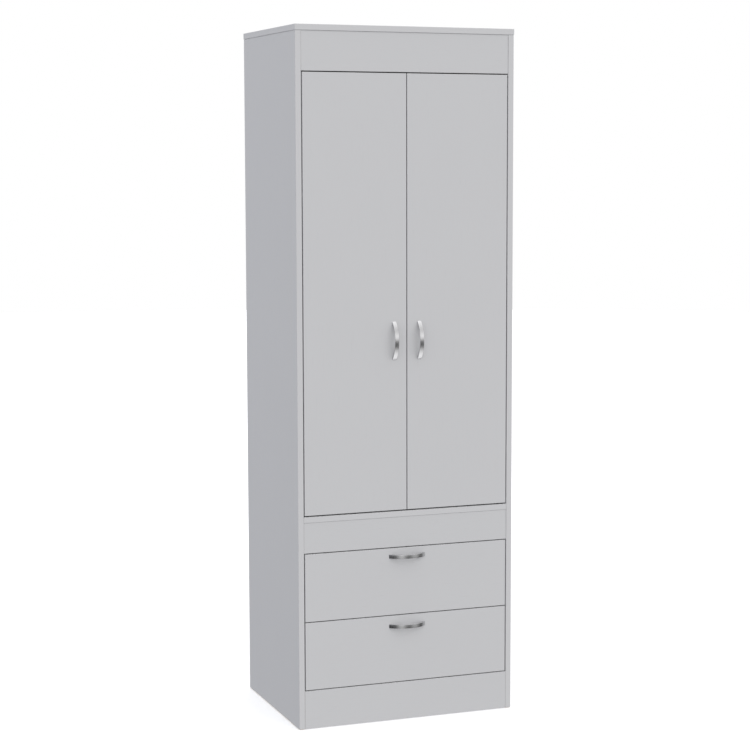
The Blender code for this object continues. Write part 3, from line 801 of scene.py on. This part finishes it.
def fastenerTree():
    # Sets one head on every point, facing the way that the point's own attribute says
    tree = bpy.data.node_groups.new("set_heads", "GeometryNodeTree")
    named = (
        ("Points", "NodeSocketGeometry"),
        ("Head", "NodeSocketObject"),
        ("Across", "NodeSocketFloat"),
        ("Height", "NodeSocketFloat"),
        ("Turn", "NodeSocketFloat"),
        ("Seed", "NodeSocketInt"),
        ("Finish", "NodeSocketMaterial"),
    )
    for name, kind in named:
        tree.interface.new_socket(name=name, in_out="INPUT", socket_type=kind)
    tree.interface.new_socket(name="Heads", in_out="OUTPUT", socket_type="NodeSocketGeometry")
    wire = Wire(tree)
    given = wire.make("NodeGroupInput").socket.node

    def take(name):
        return Wire(tree, given.outputs[name])

    head = wire.make("GeometryNodeObjectInfo", (), {"Object": take("Head")}, "Geometry")
    facing = wire.make(
        "GeometryNodeInputNamedAttribute",
        {"data_type": "FLOAT_VECTOR"},
        {"Name": "facing"},
    )
    upright = wire.make("FunctionNodeAlignRotationToVector", {"axis": "Z"}, {"Vector": facing})
    turn = wire.make(
        "FunctionNodeRandomValue",
        {"data_type": "FLOAT"},
        {2: 0.0, 3: take("Turn"), "Seed": take("Seed")},
        1,
    )
    roll = wire.make(
        "FunctionNodeAxisAngleToRotation",
        (),
        {"Axis": (0.0, 0.0, 1.0), "Angle": turn},
    )
    spun = wire.make(
        "FunctionNodeRotateRotation",
        {"rotation_space": "LOCAL"},
        {"Rotation": upright, "Rotate By": roll},
    )
    scale = wire.make(
        "ShaderNodeCombineXYZ",
        (),
        {"X": take("Across"), "Y": take("Across"), "Z": take("Height")},
    )
    placed = wire.make(
        "GeometryNodeInstanceOnPoints",
        (),
        {"Points": take("Points"), "Instance": head, "Rotation": spun, "Scale": scale},
    )
    real = wire.make("GeometryNodeRealizeInstances", (), {"Geometry": placed})
    finished = wire.make(
        "GeometryNodeSetMaterial",
        (),
        {"Geometry": real, "Material": take("Finish")},
    )
    wire.make("NodeGroupOutput", (), {"Heads": finished})
    return tree


setHeads = fastenerTree()
socketIds = {}
for item in setHeads.interface.items_tree:
    if item.in_out == "INPUT":
        socketIds[item.name] = item.identifier


def setOut(name, body, head, size, finish, places):
    # size is across and height, and places are pairs of a point and the way it faces
    mesh = bpy.data.meshes.new(name)
    mesh.from_pydata([spot for spot, facing in places], [], [])
    facings = mesh.attributes.new("facing", "FLOAT_VECTOR", "POINT")
    for index, (spot, facing) in enumerate(places):
        facings.data[index].vector = facing
    piece = bpy.data.objects.new(name, mesh)
    bpy.context.scene.collection.objects.link(piece)
    source = bpy.data.objects.new(f"{name}_head", head)
    bpy.context.scene.collection.objects.link(source)
    modifier = piece.modifiers.new("heads", "NODES")
    modifier.node_group = setHeads
    values = {
        "Head": source,
        "Across": size[0],
        "Height": size[1],
        "Turn": 2 * math.pi,
        "Seed": len(bpy.data.objects),
        "Finish": finish,
    }
    for label, value in values.items():
        modifier[socketIds[label]] = value
    graph = bpy.context.evaluated_depsgraph_get()
    plain = bpy.data.meshes.new_from_object(piece.evaluated_get(graph))
    piece.modifiers.remove(modifier)
    piece.data = plain
    plain.name = name
    bpy.data.objects.remove(source)
    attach(piece, body)
    return piece


heads = {}
for name, shape in headShapes.items():
    heads[name] = headMesh(name, shape["profile"], shape["steps"], shape["slot"])

# Which head each kind takes, its width and height, its material slot and its finish
fastenerKinds = {
    "cup_screws": (heads["flat_head"], (0.0078, 0.0010), "hinge_steel", hingeSteel),
    "plate_screws": (heads["flat_head"], (0.0076, 0.0011), "hinge_steel", hingeSteel),
    "arm_clamp_screws": (heads["pan_head"], (0.0068, 0.0020), "hinge_steel", hingeSteel),
    "arm_adjusting_screws": (heads["pan_head"], (0.0052, 0.0012), "hinge_steel", zinc),
    "slide_screws": (heads["flat_head"], (0.0066, 0.0010), "hinge_steel", zinc),
    "box_screws": (heads["flat_head"], (0.0070, 0.0009), "hinge_steel", zinc),
    "pull_screws": (heads["pan_head"], (0.0086, 0.0024), "hinge_steel", zinc),
    "rod_socket_screws": (heads["pan_head"], (0.0062, 0.0018), "hinge_steel", zinc),
    "cam_locks": (heads["cam_head"], (0.0150, 0.0006), "hinge_steel", zinc),
    "box_cam_locks": (heads["cam_head"], (0.0120, 0.0006), "hinge_steel", zinc),
    "back_nails": (heads["nail_head"], (0.0058, 0.0004), "hinge_steel", zinc),
    "slide_rollers": (heads["roller_wheel"], (0.0148, 0.0070), "plastic", rollerNylon),
}
fastenerPlaces = {}


def note(kind, body, spot, facing):
    fastenerPlaces.setdefault((kind, body), []).append((Vector(spot), Vector(facing)))


def middle(node):
    low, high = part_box(node)
    return (low + high) / 2


def inward(node, sign):
    # The face of a side-mounted node that looks at the cabinet's middle
    low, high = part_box(node)
    return low.x if sign > 0 else high.x


def outermost(node, sign):
    low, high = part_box(node)
    return high.x if sign > 0 else low.x


hingeSettings = {
    "cupScrewRise": 0.0205,
    "cupScrewSide": 0.006,
    "plateSheet": 0.0018,
    "plateScrewRise": 0.0180,
    "armThickness": 0.005,
    "clampBack": 0.0080,
    "adjusterBack": 0.0340,
}


def noteHingeScrews(side, sign, level, settings):
    cup = middle(f"{side}_hinge_cup_{level}")
    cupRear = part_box(f"{side}_hinge_cup_{level}")[1].y
    plate = middle(f"{side}_hinge_plate_{level}")
    wing = outermost(f"{side}_hinge_plate_{level}", sign) - sign * settings["plateSheet"]
    armFace = outermost(f"{side}_hinge_arm_{level}", sign) - sign * settings["armThickness"]
    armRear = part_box(f"{side}_hinge_arm_{level}")[1].y
    inside = (-sign, 0, 0)
    for end in (-1, 1):
        x = cup.x - sign * settings["cupScrewSide"]
        rise = end * settings["cupScrewRise"]
        note("cup_screws", f"{side}_door", (x, cupRear, cup.z + rise), (0, 1, 0))
        rise = end * settings["plateScrewRise"]
        note("plate_screws", "cabinet", (wing, plate.y, plate.z + rise), inside)
    clamp = (armFace, armRear - settings["clampBack"], plate.z)
    note("arm_clamp_screws", "cabinet", clamp, inside)
    adjuster = (armFace, armRear - settings["adjusterBack"], plate.z)
    note("arm_adjusting_screws", "cabinet", adjuster, inside)


slideSettings = {
    "sheet": 0.0012,
    "flangeOut": 0.0015,
    "screwRise": 0.0075,
    "channelScrews": (0.035, 0.163, 0.323),
    "runnerScrews": (0.030, 0.195, 0.350),
    "rollerInset": 0.0110,
    "rollerDrop": 0.0002,
    "channelRollerGap": 0.0009,
    "boxScrewRise": (0.045, 0.100),
    "boxCamRise": (0.036, 0.090),
    "boxCamBack": 0.0240,
}


def noteSlide(drawer, side, sign, settings):
    channelLow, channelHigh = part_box(f"{drawer}_channel_{side}")
    runnerLow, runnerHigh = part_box(f"{drawer}_runner_{side}")
    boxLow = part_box(f"{drawer}_side_{side}")[0]
    web = outermost(f"{drawer}_channel_{side}", sign) - sign * settings["sheet"]
    wall = outermost(f"{drawer}_side_{side}", sign)
    flange = wall + sign * settings["flangeOut"]
    inside = (-sign, 0, 0)
    outside = (sign, 0, 0)
    channelMiddle = (channelLow.z + channelHigh.z) / 2
    for back in settings["channelScrews"]:
        note("slide_screws", "cabinet", (web, channelLow.y + back, channelMiddle), inside)
    for back in settings["runnerScrews"]:
        height = runnerHigh.z - settings["screwRise"]
        note("slide_screws", drawer, (flange, runnerLow.y + back, height), outside)
    radius = fastenerKinds["slide_rollers"][1][0] / 2
    height = runnerHigh.z - settings["sheet"] - settings["rollerDrop"] - radius
    front = channelLow.y + settings["rollerInset"]
    rear = runnerHigh.y - settings["rollerInset"]
    seat = web - sign * settings["channelRollerGap"]
    note("slide_rollers", "cabinet", (seat, front, height), inside)
    note("slide_rollers", drawer, (flange, rear, height), outside)
    backBoard = middle(f"{drawer}_back").y
    for rise in settings["boxScrewRise"]:
        note("box_screws", drawer, (wall, backBoard, boxLow.z + rise), outside)
    innerWall = inward(f"{drawer}_side_{side}", sign)
    for rise in settings["boxCamRise"]:
        spot = (innerWall, boxLow.y + settings["boxCamBack"], boxLow.z + rise)
        note("box_cam_locks", drawer, spot, inside)


carcassSettings = {
    "camInset": 0.034,
    "railCamShare": 0.26,
    "camDepths": (0.110, 0.350),
    "socketScrews": 3,
    "socketScrewRadius": 0.0207,
    "socketFlange": 0.003,
    "nailInset": 0.0055,
    "nailPitch": 0.118,
    "nailLift": 0.0004,
    "seamInset": 0.0045,
    "sheetRounding": 0.0003,
    "pullScrewInset": 0.0045,
}


def noteCarcass(settings):
    inset = settings["camInset"]
    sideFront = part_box("left_side_panel")[0].y
    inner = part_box("right_side_panel")[0].x
    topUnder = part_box("top_panel")[0].z
    for side, sign in sides:
        for rail in ("header_rail", "mid_rail", "plinth"):
            low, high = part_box(rail)
            rise = (high.z - low.z) * settings["railCamShare"]
            for end in (-1, 1):
                spot = (sign * (inner - inset), high.y, (low.z + high.z) / 2 + end * rise)
                note("cam_locks", "cabinet", spot, (0, 1, 0))
        for depth in settings["camDepths"]:
            y = sideFront + depth
            for deck in ("wardrobe_floor", "base_panel"):
                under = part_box(deck)[0].z
                note("cam_locks", "cabinet", (sign * (inner - inset), y, under), (0, 0, -1))
            note("cam_locks", "cabinet", (sign * inner, y, topUnder - inset), (-sign, 0, 0))
        socket = middle(f"rod_socket_{side}")
        face = outermost(f"rod_socket_{side}", sign) - sign * settings["socketFlange"]
        for index in range(settings["socketScrews"]):
            turn = math.radians(90.0 + 360.0 * index / settings["socketScrews"])
            y = socket.y + settings["socketScrewRadius"] * math.cos(turn)
            z = socket.z + settings["socketScrewRadius"] * math.sin(turn)
            note("rod_socket_screws", "cabinet", (face, y, z), (-sign, 0, 0))


def notePullScrews(body, node, board, alongAxis, inset):
    low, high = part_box(node)
    spot = (low + high) / 2
    spot.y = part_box(board)[1].y
    index = "XYZ".index(alongAxis)
    for end in (low[index] + inset, high[index] - inset):
        spot[index] = end
        note("pull_screws", body, spot.copy(), (0, 1, 0))


def spread(first, last, pitch):
    # Even places from first to last, about a pitch apart
    count = max(1, round((last - first) / pitch))
    return [first + (last - first) * step / count for step in range(count + 1)]


def noteNails(settings):
    inset = settings["nailInset"]
    for sheet in ("back_panel_lower", "back_panel_upper"):
        low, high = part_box(sheet)
        rear = high.y - settings["nailLift"]
        seamLow = settings["seamInset"] if sheet == "back_panel_upper" else inset
        seamHigh = settings["seamInset"] if sheet == "back_panel_lower" else inset
        bottom = low.z + seamLow
        top = high.z - seamHigh
        for z in spread(bottom, top, settings["nailPitch"]):
            for x in (low.x + inset, high.x - inset):
                note("back_nails", "cabinet", (x, rear, z), (0, 1, 0))
        # The lower sheet is nailed to the base panel, which lies above its bottom edge
        rows = (bottom, top) if sheet == "back_panel_upper" else (top, middle("base_panel").z)
        for x in spread(low.x + inset, high.x - inset, settings["nailPitch"])[1:-1]:
            for z in rows:
                note("back_nails", "cabinet", (x, rear, z), (0, 1, 0))


def sheetMesh(name, low, high, rounding):
    bm = bmesh.new()
    bmesh.ops.create_cube(bm, size=1.0)
    size = high - low
    centre = (low + high) / 2
    bmesh.ops.scale(bm, vec=size, verts=bm.verts)
    bmesh.ops.translate(bm, vec=centre, verts=bm.verts)
    edges = list(bm.edges)
    bmesh.ops.bevel(bm, geom=edges, offset=rounding, segments=2, profile=0.6, affect="EDGES")
    mesh = bpy.data.meshes.new(name)
    bm.to_mesh(mesh)
    bm.free()
    return mesh


for sheet in ("back_panel_lower", "back_panel_upper"):
    # A nail head's height thinner than its box, so that the heads stay within the depth
    low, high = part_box(sheet)
    high.y -= carcassSettings["nailLift"]
    mesh = sheetMesh(f"{sheet}_sheet", low, high, carcassSettings["sheetRounding"])
    piece = addPiece(f"{sheet}_sheet", mesh, "cabinet", backSheet)
    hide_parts(sheet)

for side, sign in sides:
    for level in levels:
        noteHingeScrews(side, sign, level, hingeSettings)
    for drawer in drawers:
        noteSlide(drawer, side, sign, slideSettings)
noteCarcass(carcassSettings)
noteNails(carcassSettings)
for node, (body, board, alongAxis) in pullPlaces.items():
    notePullScrews(body, node, board, alongAxis, carcassSettings["pullScrewInset"])
for (kind, body), places in fastenerPlaces.items():
    head, size, slot, finish = fastenerKinds[kind]
    setOut(f"{body}_{kind}", body, head, size, finish, places)
    print(f"{body} {kind}:", len(places))
